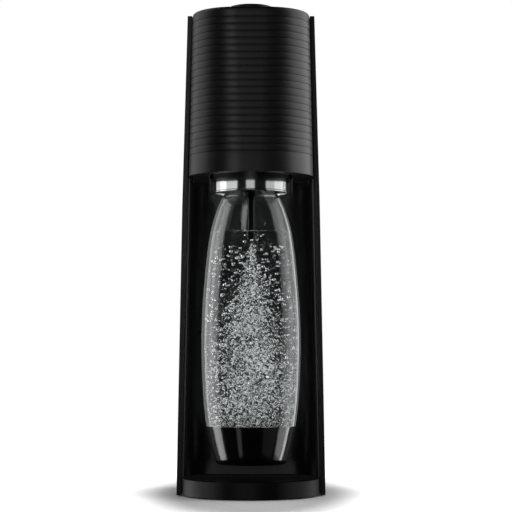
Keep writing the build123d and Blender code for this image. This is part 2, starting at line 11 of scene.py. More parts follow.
import bmesh
import bpy
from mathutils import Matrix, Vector, noise

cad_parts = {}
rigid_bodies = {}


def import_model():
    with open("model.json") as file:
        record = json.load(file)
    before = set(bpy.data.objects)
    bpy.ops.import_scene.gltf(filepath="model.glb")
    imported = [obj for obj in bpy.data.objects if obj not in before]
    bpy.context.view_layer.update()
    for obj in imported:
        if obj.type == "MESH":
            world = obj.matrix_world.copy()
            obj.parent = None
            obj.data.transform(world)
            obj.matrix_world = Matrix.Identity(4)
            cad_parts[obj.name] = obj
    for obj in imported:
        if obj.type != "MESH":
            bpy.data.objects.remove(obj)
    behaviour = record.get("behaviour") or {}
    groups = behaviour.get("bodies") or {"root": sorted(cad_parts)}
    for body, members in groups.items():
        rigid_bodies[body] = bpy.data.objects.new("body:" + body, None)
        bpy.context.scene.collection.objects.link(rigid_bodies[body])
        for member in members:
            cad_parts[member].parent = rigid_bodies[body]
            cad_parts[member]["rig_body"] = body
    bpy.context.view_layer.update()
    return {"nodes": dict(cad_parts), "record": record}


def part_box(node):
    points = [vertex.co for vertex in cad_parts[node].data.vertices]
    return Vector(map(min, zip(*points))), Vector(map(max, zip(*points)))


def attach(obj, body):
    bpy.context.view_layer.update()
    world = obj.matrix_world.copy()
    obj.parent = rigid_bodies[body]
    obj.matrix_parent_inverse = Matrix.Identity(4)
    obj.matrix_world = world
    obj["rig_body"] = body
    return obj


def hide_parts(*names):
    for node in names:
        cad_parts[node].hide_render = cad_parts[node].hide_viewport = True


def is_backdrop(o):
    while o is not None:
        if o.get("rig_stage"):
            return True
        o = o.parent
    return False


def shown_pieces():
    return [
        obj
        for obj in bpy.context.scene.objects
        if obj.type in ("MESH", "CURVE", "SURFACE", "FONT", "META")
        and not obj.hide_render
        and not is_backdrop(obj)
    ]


bl_info = {
    "name": "Soda Carbonator",
    "version": (1, 0, 0),
    "blender": (4, 5, 0),
    "location": "View3D > Sidebar > Carbonator",
    "description": "Models the visible pieces and finishes of a soda carbonator round its fixed frame",
    "category": "Object",
}

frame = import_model()
MM = 0.001
FULL_TURN = 2 * math.pi


# ---- sizes taken from the frame -----------------------------------------------------------------------------

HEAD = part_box("head_cover")
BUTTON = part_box("carbonation_button")
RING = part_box("holder_ring")
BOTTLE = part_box("bottle_shell")
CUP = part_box("bottle_base_cup")
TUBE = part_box("carbonation_tube")
BOTTLE_Y = (BOTTLE[0].y + BOTTLE[1].y) / 2
BUTTON_Y = (BUTTON[0].y + BUTTON[1].y) / 2
BOTTLE_CENTRE = (0, BOTTLE_Y)

# The head narrows by this much on each side up to its top, and its front corners' radius shrinks with it.
HEAD_TAPER = 3.4 * MM
HEAD_CORNER = 48
HEAD_CORNER_TAPER = 8

# The sides of the clear bottle and of its black foot: radius and height in millimetres, from the bottom up.
BELLY_LINE = ((39.3, 61.5), (41.6, 80), (43.1, 104), (43.9, 136), (43.0, 166), (41.2, 190), (38.8, 214),
              (35.7, 234), (31.2, 250), (27.0, 260.6), (22.6, 268.2), (19.0, 273.2), (17.3, 276.4))
FOOT_LINE = ((31.9, 31.6), (33.9, 38.0), (36.1, 46.5), (37.9, 54.5), (39.3, 61.3))

# Two points closer than this are at the same height or in the same plane.
NEAR = 0.01 * MM


# ---- sizes and colours that a user may change ---------------------------------------------------------------

def linear(text):
    """The linear RGB of an sRGB colour given as hex digits."""
    channels = [int(text[i : i + 2], 16) / 255 for i in (1, 3, 5)]
    return tuple(c / 12.92 if c <= 0.04045 else ((c + 0.055) / 1.055) ** 2.4 for c in channels)


def length(name, description, millimetres):
    """A length a user may change, in metres."""
    return bpy.props.FloatProperty(name=name, description=description, default=millimetres * MM, unit="LENGTH",
                                   precision=4)


def colour(name, description, text):
    """A colour a user may change."""
    return bpy.props.FloatVectorProperty(name=name, description=description, default=linear(text), subtype="COLOR",
                                         min=0, max=1)


class CarbonatorSizes(bpy.types.PropertyGroup):
    """Sizes of the modelled pieces that the frame doesn't fix."""

    rib_pitch: length("Rib pitch", "Height of one rib of the head and its groove", 6.15)
    rib_top: length("Top groove", "Depth of the highest groove below the rim", 8.5)
    rib_count: bpy.props.IntProperty(name="Grooves", description="How many grooves run round the head", default=20)
    groove_depth: length("Groove depth", "Depth of the grooves in the head", 0.42)
    groove_height: length("Groove height", "Height of a groove's floor", 0.3)
    lip: length("Rib lip", "Rounding of each rib's edges", 0.55)
    rim_round: length("Rim rounding", "Rounding of the head's top edge", 2.5)
    button_dish: length("Button dish", "How far the button's top is dished", 0.5)
    head_wall: length("Head wall", "Thickness of the head cover", 2.2)
    bottle_wall: length("Bottle wall", "Thickness of the clear wall", 2.0)
    water_top: length("Water level", "Height of the water above the worktop", 231.6)
    water_gap: length("Water gap", "Space between the water and the wall", 0.12)
    fine_bubbles: bpy.props.IntProperty(name="Fine bubbles", description="Bubbles in the jet", default=9000)
    round_bubbles: bpy.props.IntProperty(name="Round bubbles", description="Rising bubbles beside it", default=1500)


class CarbonatorColours(bpy.types.PropertyGroup):
    """Base colours of the finishes."""

    shell: colour("Shell", "Satin black ABS of the casings", "#151516")
    gloss: colour("Gloss", "Polished black ABS of the foot and the holder", "#0a0a0b")
    inner: colour("Inner", "Unpolished black of the structural parts", "#232325")
    steel: colour("Steel", "Stainless steel", "#c6c7c8")
    aluminium: colour("Aluminium", "Lacquered aluminium of the cylinder", "#b4b8bb")
    brass: colour("Brass", "Turned brass", "#c9a45c")
    rubber: colour("Rubber", "Black nitrile rubber", "#1a1a1a")
    lever: colour("Lock lever", "Pink moulded plastic of the lock lever", "#c8417a")
    floor: colour("Floor", "Floor and backdrop", "#f4f4f4")


# ---- materials ----------------------------------------------------------------------------------------------

def add_node(tree, kind, settings=None, inputs=None):
    """Adds a node with its settings, and its inputs as plain values or as links from other nodes' outputs."""
    node = tree.nodes.new(kind)
    for name, value in (settings or {}).items():
        setattr(node, name, value)
    for socket, value in (inputs or {}).items():
        if isinstance(value, bpy.types.NodeSocket):
            tree.links.new(value, node.inputs[socket])
        else:
            node.inputs[socket].default_value = value
    return node


def new_material(name, base, roughness, **plain):
    """A material with a Principled shader, and its tree."""
    mat = bpy.data.materials.new(name)
    mat.use_nodes = True
    shader = mat.node_tree.nodes["Principled BSDF"]
    shader.inputs["Base Color"].default_value = (*base, 1)
    shader.inputs["Roughness"].default_value = roughness
    for socket, value in plain.items():
        shader.inputs[socket.replace("_", " ")].default_value = value
    return mat, mat.node_tree, shader


# Most of a noise pattern's values lie in this range, so it is stretched over the range that a finish needs.
NOISE_SPAN = {"From Min": 0.3, "From Max": 0.7}
# Size of the patches in which a moulded wall's sheen and shade drift.
SHEEN_DRIFT = 30 * MM


def moulded(name, base, roughness, grain, depth, vary, **plain):
    """Injection-moulded plastic: a fine even grain from the mould's texture, and a slow drift of sheen."""
    mat, tree, shader = new_material(name, base, roughness, **plain)
    place = add_node(tree, "ShaderNodeTexCoord").outputs["Object"]
    fine = add_node(tree, "ShaderNodeTexNoise", inputs={"Vector": place, "Scale": 1 / grain, "Detail": 2.0,
                                                        "Roughness": 0.5})
    slow = add_node(tree, "ShaderNodeTexNoise", inputs={"Vector": place, "Scale": 1 / SHEEN_DRIFT, "Detail": 3.0,
                                                        "Roughness": 0.6})
    sheen = add_node(tree, "ShaderNodeMapRange", inputs={"Value": slow.outputs["Fac"], **NOISE_SPAN,
                                                         "To Min": roughness - vary, "To Max": roughness + vary})
    tree.links.new(sheen.outputs["Result"], shader.inputs["Roughness"])
    shade = add_node(tree, "ShaderNodeMix", {"data_type": "RGBA"},
                     {"Factor": slow.outputs["Fac"], "A": (*[c * 0.88 for c in base], 1),
                      "B": (*[c * 1.12 for c in base], 1)})
    tree.links.new(shade.outputs["Result"], shader.inputs["Base Color"])
    bump = add_node(tree, "ShaderNodeBump", inputs={"Height": fine.outputs["Fac"], "Strength": depth,
                                                    "Distance": 0.05 * MM})
    tree.links.new(bump.outputs["Normal"], shader.inputs["Normal"])
    return mat


def satin_abs(colours):
    """Satin black ABS, spark-eroded mould: broad soft highlights; the grain is drawn at 0.6 mm so that it shows."""
    return moulded("satin_abs", colours.shell, 0.40, 0.6 * MM, 0.25, 0.02, IOR=1.5)


def polished_abs(colours):
    """Polished black ABS: sharp reflections with the slight ripple of a moulded wall."""
    return moulded("polished_abs", colours.gloss, 0.12, 9 * MM, 0.15, 0.02, IOR=1.54)


def liner_abs(colours):
    """Semi-gloss black ABS of the bottle bay: it shows dim, blurred reflections."""
    return moulded("semi_gloss_abs", colours.shell, 0.3, 0.8 * MM, 0.15, 0.03, IOR=1.5)


def filled_nylon(colours):
    """Glass-filled nylon, unpolished: dull, a little mottled where fibres reach the surface."""
    return moulded("filled_nylon", colours.inner, 0.62, 0.9 * MM, 0.5, 0.08)


def nitrile_rubber(colours):
    """Nitrile rubber: almost no gloss, with a fine matte skin."""
    return moulded("nitrile_rubber", colours.rubber, 0.82, 0.5 * MM, 0.5, 0.05)


def lever_plastic(colours):
    """Pink acetal of the lock lever: semi-gloss and slightly waxy."""
    return moulded("pink_acetal", colours.lever, 0.34, 0.7 * MM, 0.2, 0.04)


def ring_steel(colours):
    """Stainless steel, brushed round the ring: thin level scratches that stretch highlights upwards."""
    mat, tree, shader = new_material("brushed_stainless", colours.steel, 0.11, Metallic=1.0)
    place = add_node(tree, "ShaderNodeTexCoord").outputs["Object"]
    along = add_node(tree, "ShaderNodeMapping", inputs={"Vector": place, "Scale": (18, 18, 2600)})
    scratches = add_node(tree, "ShaderNodeTexNoise", inputs={"Vector": along.outputs["Vector"], "Scale": 1.0,
                                                             "Detail": 4.0, "Roughness": 0.7})
    sheen = add_node(tree, "ShaderNodeMapRange", inputs={"Value": scratches.outputs["Fac"], **NOISE_SPAN,
                                                         "To Min": 0.08, "To Max": 0.15})
    tree.links.new(sheen.outputs["Result"], shader.inputs["Roughness"])
    clouds = add_node(tree, "ShaderNodeTexNoise", inputs={"Vector": place, "Scale": 1 / (5 * MM), "Detail": 3.0})
    shade = add_node(tree, "ShaderNodeMix", {"data_type": "RGBA"},
                     {"Factor": clouds.outputs["Fac"], "A": (*[c * 0.8 for c in colours.steel], 1),
                      "B": (*colours.steel, 1)})
    tree.links.new(shade.outputs["Result"], shader.inputs["Base Color"])
    bump = add_node(tree, "ShaderNodeBump", inputs={"Height": scratches.outputs["Fac"], "Strength": 0.25,
                                                    "Distance": 0.02 * MM})
    tree.links.new(bump.outputs["Normal"], shader.inputs["Normal"])
    return mat


def turned_metal(name, base, roughness):
    """Turned or drawn metal: fine rings about an upright axis from the tool."""
    mat, tree, shader = new_material(name, base, roughness, Metallic=1.0)
    place = add_node(tree, "ShaderNodeTexCoord").outputs["Object"]
    along = add_node(tree, "ShaderNodeMapping", inputs={"Vector": place, "Scale": (60, 60, 3000)})
    rings = add_node(tree, "ShaderNodeTexNoise", inputs={"Vector": along.outputs["Vector"], "Scale": 1.0,
                                                         "Detail": 3.0})
    sheen = add_node(tree, "ShaderNodeMapRange", inputs={"Value": rings.outputs["Fac"], **NOISE_SPAN,
                                                         "To Min": roughness * 0.75, "To Max": roughness * 1.3})
    tree.links.new(sheen.outputs["Result"], shader.inputs["Roughness"])
    bump = add_node(tree, "ShaderNodeBump", inputs={"Height": rings.outputs["Fac"], "Strength": 0.3,
                                                    "Distance": 0.02 * MM})
    tree.links.new(bump.outputs["Normal"], shader.inputs["Normal"])
    return mat


def lacquered_aluminium(colours):
    """Drawn aluminium cylinder under a clear lacquer: soft metal sheen below a glossy coat."""
    mat = turned_metal("lacquered_aluminium", colours.aluminium, 0.4)
    shader = mat.node_tree.nodes["Principled BSDF"]
    shader.inputs["Coat Weight"].default_value = 0.6
    shader.inputs["Coat Roughness"].default_value = 0.15
    return mat


def clear_solid(name, base, ior, roughness):
    """A clear solid that refracts, and lets the lamps' light through to what it holds."""
    mat, tree, shader = new_material(name, base, roughness, IOR=ior, Transmission_Weight=1.0)
    path = add_node(tree, "ShaderNodeLightPath")
    through = add_node(tree, "ShaderNodeBsdfTransparent", inputs={"Color": (*[c**0.5 for c in base], 1)})
    mix = add_node(tree, "ShaderNodeMixShader", inputs={"Fac": path.outputs["Is Shadow Ray"]})
    tree.links.new(shader.outputs["BSDF"], mix.inputs[1])
    tree.links.new(through.outputs["BSDF"], mix.inputs[2])
    tree.links.new(mix.outputs["Shader"], tree.nodes["Material Output"].inputs["Surface"])
    return mat


def bottle_plastic():
    """Clear blow-moulded PET: hard, bright reflections and a faint grey body."""
    return clear_solid("clear_pet", linear("#f2f4f4"), 1.5, 0.02)


def carbonated_water():
    """Water between the bubbles: clear, with a weak skin reflection. Its index is lower than real water's, so that
    its side doesn't turn the light back at the thin gap to the wall."""
    return clear_solid("water", linear("#fbfcfc"), 1.12, 0.0)


def gas_bubble(name, clear_middle):
    """Gas in water: past the critical angle its rim turns all light back like a mirror, and its middle is clear."""
    mat, tree, shader = new_material(name, linear("#f6f8f8"), 0.14, IOR=1.33, Transmission_Weight=clear_middle)
    facing = add_node(tree, "ShaderNodeLayerWeight", inputs={"Blend": 0.5})
    rim = add_node(tree, "ShaderNodeMapRange", inputs={"Value": facing.outputs["Facing"], "From Min": 0.15,
                                                       "From Max": 0.4})
    tree.links.new(rim.outputs["Result"], shader.inputs["Metallic"])
    return mat


def floor_with_painted_shadow(colours):
    """Matt white paper lit from all round. It also glows a little, which is painted light, and the glow is dimmed
    into a painted shadow where ambient occlusion finds the machine close and in an oval round the machine that is
    longer to the front and back."""
    mat, tree, shader = new_material("floor_with_painted_shadow", colours.floor, 0.6)
    shader.inputs["Emission Color"].default_value = (1, 1, 1, 1)
    place = add_node(tree, "ShaderNodeTexCoord").outputs["Object"]
    # Painted shadow: the floor's painted glow is darkened by ambient occlusion near the machine and by an oval fade
    # round it.
    painted_contact_shadow = add_node(tree, "ShaderNodeAmbientOcclusion", {"samples": 8}, {"Distance": 0.07})
    oval = add_node(tree, "ShaderNodeMapping", inputs={"Vector": place, "Scale": (1 / 0.066, 1 / 0.2, 1)})
    away = add_node(tree, "ShaderNodeVectorMath", {"operation": "LENGTH"}, {0: oval.outputs["Vector"]})
    painted_shadow_fade = add_node(tree, "ShaderNodeMapRange", {"interpolation_type": "SMOOTHSTEP"},
                    {"Value": away.outputs["Value"], "From Min": 0.95, "From Max": 1.7, "To Min": 0.08})
    painted_floor_glow = add_node(tree, "ShaderNodeMath", {"operation": "MULTIPLY"},
                    {0: painted_contact_shadow.outputs["AO"], 1: painted_shadow_fade.outputs["Result"]})
    tree.links.new(painted_floor_glow.outputs["Value"], shader.inputs["Emission Strength"])
    return mat


# ---- meshes -------------------------------------------------------------------------------------------------

def finish_piece(name, work, mat, body, replaced=(), sharp=32):
    """Turns a bmesh into a finished piece that rides on a body."""
    data = bpy.data.meshes.new(name)
    work.to_mesh(data)
    work.free()
    data.shade_smooth()
    data.set_sharp_from_angle(angle=math.radians(sharp))
    piece = bpy.data.objects.new(name, data)
    bpy.context.scene.collection.objects.link(piece)
    data.materials.append(mat)
    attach(piece, body)
    if replaced:
        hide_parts(*replaced)
    return piece


def spun(points, centre, steps=128, closed=True):
    """A shape turned about an upright axis from its (radius, height) outline."""
    work = bmesh.new()
    corners = [work.verts.new((radius, 0, height)) for radius, height in points]
    pairs = list(zip(corners, corners[1:]))
    if closed:
        pairs.append((corners[-1], corners[0]))
    edges = [work.edges.new(pair) for pair in pairs]
    bmesh.ops.spin(work, geom=corners + edges, cent=(0, 0, 0), axis=(0, 0, 1), angle=FULL_TURN, steps=steps,
                   use_merge=True)
    bmesh.ops.remove_doubles(work, verts=work.verts, dist=0.001 * MM)
    bmesh.ops.dissolve_degenerate(work, edges=work.edges, dist=0.001 * MM)
    bmesh.ops.translate(work, verts=work.verts, vec=(*centre, 0))
    bmesh.ops.recalc_face_normals(work, faces=work.faces)
    return work


def rounded(points, radius, steps=4):
    """The outline with its corners rounded; points is a list of (radius, height)."""
    result = []
    count = len(points)
    for i, here in enumerate(points):
        before, after = Vector(points[i - 1]), Vector(points[(i + 1) % count])
        corner = Vector(here)
        if corner.x == 0:
            result.append(tuple(corner))
            continue
        reach = min(radius, (before - corner).length * 0.45, (after - corner).length * 0.45)
        start = corner + (before - corner).normalized() * reach
        end = corner + (after - corner).normalized() * reach
        for k in range(steps + 1):
            t = k / steps
            result.append(tuple(start * (1 - t) ** 2 + corner * 2 * t * (1 - t) + end * t * t))
    return result


def curve_through(points, steps):
    """A smooth line of (radius, height) points through the given ones."""
    result = []
    ends = [2 * Vector(points[0]) - Vector(points[1])] + [Vector(p) for p in points]
    ends.append(2 * ends[-1] - ends[-2])
    for a, b, c, d in zip(ends, ends[1:], ends[2:], ends[3:]):
        for k in range(steps):
            t = k / steps
            result.append(tuple(0.5 * (2 * b + (c - a) * t + (2 * a - 5 * b + 4 * c - d) * t * t
                                       + (3 * b - a - 3 * c + d) * t**3)))
    result.append(tuple(ends[-2]))
    return result


def wall_line(inset, steps=6):
    """The clear bottle's side from its foot to its neck, drawn in by inset."""
    return curve_through([(radius * MM - inset, height * MM) for radius, height in BELLY_LINE], steps)


def refined(node, name, mat, edge, sharp=30):
    """A copy of a frame mesh, merged, with its edges broken by a small bevel. It stands for the node."""
    source = frame["nodes"][node]
    work = bmesh.new()
    work.from_mesh(source.data)
    bmesh.ops.remove_doubles(work, verts=work.verts, dist=0.002 * MM)
    bmesh.ops.dissolve_limit(work, angle_limit=math.radians(0.4), verts=work.verts, edges=work.edges)
    piece = finish_piece(name, work, mat, source["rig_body"], (node,), sharp)
    bevel = piece.modifiers.new("broken_edges", "BEVEL")
    bevel.width = edge
    bevel.segments = 2
    bevel.limit_method = "ANGLE"
    bevel.angle_limit = math.radians(35)
    bevel.harden_normals = True
    return piece


def panel_corners(half_width, front, back, radius, height, segments):
    """A level outline with a straight back and round front corners, as a ring of edges in its own bmesh."""
    work = bmesh.new()
    corners = [work.verts.new((x, y, height)) for x, y in
               ((-half_width, back), (-half_width, front), (half_width, front), (half_width, back))]
    work.faces.new(corners)
    bmesh.ops.bevel(work, geom=[corners[1], corners[2]], affect="VERTICES", offset=radius, segments=segments,
                    profile=0.5, material=-1)
    bmesh.ops.delete(work, geom=work.faces[:], context="FACES_ONLY")
    return work


def join(target, source):
    """Adds one bmesh to another, and returns the vertices it added."""
    data = bpy.data.meshes.new("join")
    source.to_mesh(data)
    source.free()
    before = len(target.verts)
    target.from_mesh(data)
    bpy.data.meshes.remove(data)
    target.verts.ensure_lookup_table()
    return target.verts[before:]


# ---- operators ----------------------------------------------------------------------------------------------

class CARBONATOR_OT_head(bpy.types.Operator):
    """Builds the ribbed head cover"""

    bl_idname = "carbonator.head"
    bl_label = "Head"
    bl_options = {"REGISTER", "UNDO"}

    def execute(self, context):
        sizes, colours = context.scene.carbonator_sizes, context.scene.carbonator_colours
        work = bmesh.new()
        self.outline(work, HEAD[0].z)
        self.outline(work, HEAD[1].z)
        bmesh.ops.bridge_loops(work, edges=work.edges[:])
        self.cut_ribs(work, sizes)
        bmesh.ops.contextual_create(work, geom=self.top_edges(work))
        bmesh.ops.recalc_face_normals(work, faces=work.faces)
        self.round_rim(work, sizes)
        self.open_back(work)
        piece = finish_piece("ribbed_head_cover", work, satin_abs(colours), "housing", ("head_cover",),
                             40)
        wall = piece.modifiers.new("wall", "SOLIDIFY")
        wall.thickness = sizes.head_wall
        wall.offset = -1
        self.cut_button_hole(piece)
        return {"FINISHED"}

    def outline(self, work, level):
        """One level outline of the head, between its bottom and its top."""
        wide = HEAD[1].x
        narrow = wide - HEAD_TAPER
        share = (level - HEAD[0].z) / (HEAD[1].z - HEAD[0].z)
        half_width = wide + (narrow - wide) * share
        radius = (HEAD_CORNER - HEAD_CORNER_TAPER * share) * MM
        ring = panel_corners(half_width, HEAD[0].y, HEAD[1].y, radius, level, 28)
        return join(work, ring)

    def top_edges(self, work):
        """The edges of the head's top outline."""
        return [e for e in work.edges if all(v.co.z > HEAD[1].z - NEAR for v in e.verts)]

    def cut_ribs(self, work, sizes):
        """Cuts level rows of edges, and draws those on a groove's floor inwards."""
        rows = []
        for i in range(sizes.rib_count):
            top = HEAD[1].z - sizes.rib_top - i * sizes.rib_pitch
            floor = top - sizes.groove_height
            rows += [(top + sizes.lip, 0), (top + sizes.lip * 0.35, sizes.groove_depth * 0.2),
                     (top, sizes.groove_depth), (floor, sizes.groove_depth),
                     (floor - sizes.lip * 0.35, sizes.groove_depth * 0.2), (floor - sizes.lip, 0)]
        for height, _ in rows:
            bmesh.ops.bisect_plane(work, geom=work.verts[:] + work.edges[:] + work.faces[:],
                                   plane_co=(0, 0, height), plane_no=(0, 0, 1), dist=0.0001 * MM)
        work.normal_update()
        depths = {round(height * 1e7): depth for height, depth in rows}
        moves = []
        for vert in work.verts:
            depth = depths.get(round(vert.co.z * 1e7), 0)
            if depth:
                moves.append((vert, Vector((vert.normal.x, vert.normal.y, 0)).normalized() * depth))
        away = 1 if sum((v.co.x * d.x) for v, d in moves) > 0 else -1
        for vert, inwards in moves:
            vert.co -= inwards * away

    def round_rim(self, work, sizes):
        """Rounds the top edge, except along the back."""
        rim = [e for e in self.top_edges(work)
               if len(e.link_faces) == 2 and not all(v.co.y > HEAD[1].y - NEAR for v in e.verts)]
        bmesh.ops.bevel(work, geom=rim, affect="EDGES", offset=sizes.rim_round, segments=5, profile=0.5,
                        material=-1, clamp_overlap=True)

    def open_back(self, work):
        """Removes the back wall, which the real cover doesn't have."""
        back = [f for f in work.faces if all(v.co.y > HEAD[1].y - 0.05 * MM for v in f.verts)]
        bmesh.ops.delete(work, geom=back, context="FACES")

    def cut_button_hole(self, piece):
        """Cuts the hole that the button stands in."""
        run = 0.5 * MM
        radius = (BUTTON[1].x - BUTTON[0].x) / 2 + run
        low, high = HEAD[1].z - 9 * MM, HEAD[1].z + 9 * MM
        hole = spun([(0, low), (radius, low), (radius, high), (0, high)], (0, BUTTON_Y), 96, closed=False)
        data = bpy.data.meshes.new("hole")
        hole.to_mesh(data)
        hole.free()
        cutter = bpy.data.objects.new("hole", data)
        bpy.context.scene.collection.objects.link(cutter)
        cut = piece.modifiers.new("button_hole", "BOOLEAN")
        cut.object = cutter
        cut.operation = "DIFFERENCE"
        cut.solver = "EXACT"
        baked = bpy.data.meshes.new_from_object(piece.evaluated_get(bpy.context.evaluated_depsgraph_get()))
        piece.modifiers.clear()
        piece.data = baked
        bpy.data.objects.remove(cutter)
        baked.set_sharp_from_angle(angle=math.radians(40))


class CARBONATOR_OT_button(bpy.types.Operator):
    """Builds the carbonation button"""

    bl_idname = "carbonator.button"
    bl_label = "Button"
    bl_options = {"REGISTER", "UNDO"}

    def execute(self, context):
        sizes, colours = context.scene.carbonator_sizes, context.scene.carbonator_colours
        radius = (BUTTON[1].x - BUTTON[0].x) / 2
        top = BUTTON[1].z
        stem, plate, skirt, wall = 5 * MM, 6 * MM, 14 * MM, 2 * MM
        outline = [(0, top - sizes.button_dish), (radius * 0.5, top - sizes.button_dish * 0.8),
                   (radius * 0.84, top - 0.1 * MM), (radius - 1.6 * MM, top), (radius, top - 1.8 * MM),
                   (radius, top - skirt), (radius - wall, top - skirt), (radius - wall, top - plate),
                   (stem, top - plate), (stem, BUTTON[0].z), (0, BUTTON[0].z)]
        work = spun(rounded(outline, 0.9 * MM), (0, BUTTON_Y), 128, closed=False)
        finish_piece("carbonation_button_cap", work, satin_abs(colours), "button", ("carbonation_button",),
                     40)
        return {"FINISHED"}


class CARBONATOR_OT_casing(bpy.types.Operator):
    """Gives the tower, the base, the bay and the head's floor their broken edges and finishes"""

    bl_idname = "carbonator.casing"
    bl_label = "Casing"
    bl_options = {"REGISTER", "UNDO"}

    def execute(self, context):
        colours = context.scene.carbonator_colours
        shell = satin_abs(colours)
        for node in ("left_side_panel", "right_side_panel", "back_cover", "top_cap"):
            refined(node, node + "_skin", shell, 0.5 * MM)
        refined("base_deck", "base_deck_skin", shell, 0.7 * MM)
        refined("bay_liner", "bay_liner_skin", liner_abs(colours), 0.4 * MM)
        refined("cover_latch", "cover_latch_skin", polished_abs(colours), 0.4 * MM)
        refined("head_floor", "head_floor_skin", filled_nylon(colours), 0.3 * MM)
        return {"FINISHED"}


class CARBONATOR_OT_holder(bpy.types.Operator):
    """Builds the steel ring and the tube, and finishes the tilting holder"""

    bl_idname = "carbonator.holder"
    bl_label = "Bottle holder"
    bl_options = {"REGISTER", "UNDO"}

    def execute(self, context):
        colours = context.scene.carbonator_colours
        outer = (RING[1].x - RING[0].x) / 2
        low, high = RING[0].z, RING[1].z
        wall = 1.2 * MM
        outline = [(outer - wall, low), (outer - 0.1 * MM, low), (outer, low + 1.1 * MM),
                   (outer - 0.35 * MM, low + 1.5 * MM), (outer - 0.3 * MM, high), (outer - wall, high)]
        work = spun(rounded(outline, 0.3 * MM, 3), BOTTLE_CENTRE, 160)
        finish_piece("steel_holder_ring", work, ring_steel(colours), "holder", ("holder_ring",),
                     50)
        radius = (TUBE[1].x - TUBE[0].x) / 2
        tip, top = TUBE[0].z, TUBE[1].z
        outline = [(1.2 * MM, tip + 0.6 * MM), (radius - 1.4 * MM, tip), (radius - 0.3 * MM, tip + 1.4 * MM),
                   (radius, tip + 9 * MM), (radius, tip + 9.6 * MM), (radius - 0.35 * MM, tip + 10 * MM),
                   (radius - 0.35 * MM, top), (1.2 * MM, top)]
        work = spun(rounded(outline, 0.25 * MM, 3), BOTTLE_CENTRE, 64)
        finish_piece("dip_tube", work, polished_abs(colours), "holder", ("carbonation_tube",),
                     40)
        refined("holder_yoke", "holder_yoke_skin", polished_abs(colours), 0.5 * MM)
        return {"FINISHED"}


class CARBONATOR_OT_bottle(bpy.types.Operator):
    """Builds the clear bottle, its foot and the water"""

    bl_idname = "carbonator.bottle"
    bl_label = "Bottle and water"
    bl_options = {"REGISTER", "UNDO"}

    def execute(self, context):
        sizes, colours = context.scene.carbonator_sizes, context.scene.carbonator_colours
        wall = sizes.bottle_wall
        outside = wall_line(0)
        inside = wall_line(wall)
        neck = 17.0 * MM
        top = BOTTLE[1].z
        # The neck: a carrying ring, the snap ring below the mouth, the rounded mouth, and down inside again.
        mouth = [(neck, 277.5 * MM), (neck, 279 * MM), (neck + 2.4 * MM, 279.3 * MM),
                 (neck + 2.4 * MM, 281.2 * MM), (neck, 281.6 * MM), (neck, top - 6 * MM),
                 (neck + 0.6 * MM, top - 5.4 * MM), (neck + 0.6 * MM, top - 4.4 * MM), (neck, top - 3.8 * MM),
                 (neck, top - 0.5 * MM), (neck - 0.5 * MM, top), (neck - wall + 0.4 * MM, top),
                 (neck - wall, top - 0.5 * MM), (neck - wall, 277.5 * MM)]
        # The shell's foot stands inside the black one, and its bottom is pushed up in the middle.
        skirt = curve_through([(radius * MM - 1.75 * MM, height * MM) for radius, height in FOOT_LINE], 4)
        skirt_in = [(radius - wall, height + 2.6 * MM) for radius, height in skirt]
        punt = [(21 * MM, 31.4 * MM), (12 * MM, 35.6 * MM), (0, 37.2 * MM)]
        punt_in = [(0, 39.4 * MM), (12 * MM, 37.9 * MM), (20.5 * MM, 34.9 * MM)]
        outline = outside + mouth + inside[::-1] + skirt_in[-2::-1] + punt_in[::-1] + punt[::-1] + skirt
        work = spun(outline, BOTTLE_CENTRE, 144, closed=True)
        finish_piece("clear_bottle", work, bottle_plastic(), "bottle", ("bottle_shell",), 60)
        self.build_cup(colours)
        self.build_water(sizes, inside, skirt_in, punt_in)
        return {"FINISHED"}

    def build_cup(self, colours):
        """The glossy foot that the clear shell stands in."""
        side = curve_through([(radius * MM, height * MM) for radius, height in FOOT_LINE], 5)
        low = CUP[0].z
        lip = 0.25 * MM
        outside = [(21.5 * MM, low), (28.6 * MM, low), (30.6 * MM, low + 1.1 * MM)] + side
        outside[-1] = (side[-1][0] - lip, side[-1][1])
        inside = [(radius - 1.6 * MM, height) for radius, height in side[::-1]]
        floor = [(20 * MM, low + 3.2 * MM), (12 * MM, low + 5.6 * MM), (0, low + 6.6 * MM)]
        punt = [(0, low + 4.4 * MM), (12 * MM, low + 3.4 * MM), (20 * MM, low + 0.8 * MM)]
        outline = outside + inside + floor + punt
        work = spun(outline, BOTTLE_CENTRE, 128, closed=True)
        finish_piece("bottle_foot_cup", work, polished_abs(colours), "bottle", ("bottle_base_cup",),
                     50)

    def build_water(self, sizes, inside, skirt_in, punt_in):
        """The water, just clear of the wall, with a raised edge where it wets the plastic."""
        gap = sizes.water_gap
        side = [(radius - gap, height) for radius, height in skirt_in[:-1] + inside if height < sizes.water_top]
        last = side[-1][0]
        floor = [(radius, height + gap) for radius, height in punt_in]
        surface = [(last, sizes.water_top + 0.3 * MM), (last - 0.5 * MM, sizes.water_top + 0.08 * MM),
                   (last - 1.8 * MM, sizes.water_top), (6 * MM, sizes.water_top), (0, sizes.water_top)]
        work = spun(floor[:2] + [(19.5 * MM, 35.3 * MM)] + side + surface, BOTTLE_CENTRE, 128, closed=False)
        finish_piece("water_fill", work, carbonated_water(), "bottle", (), 50)


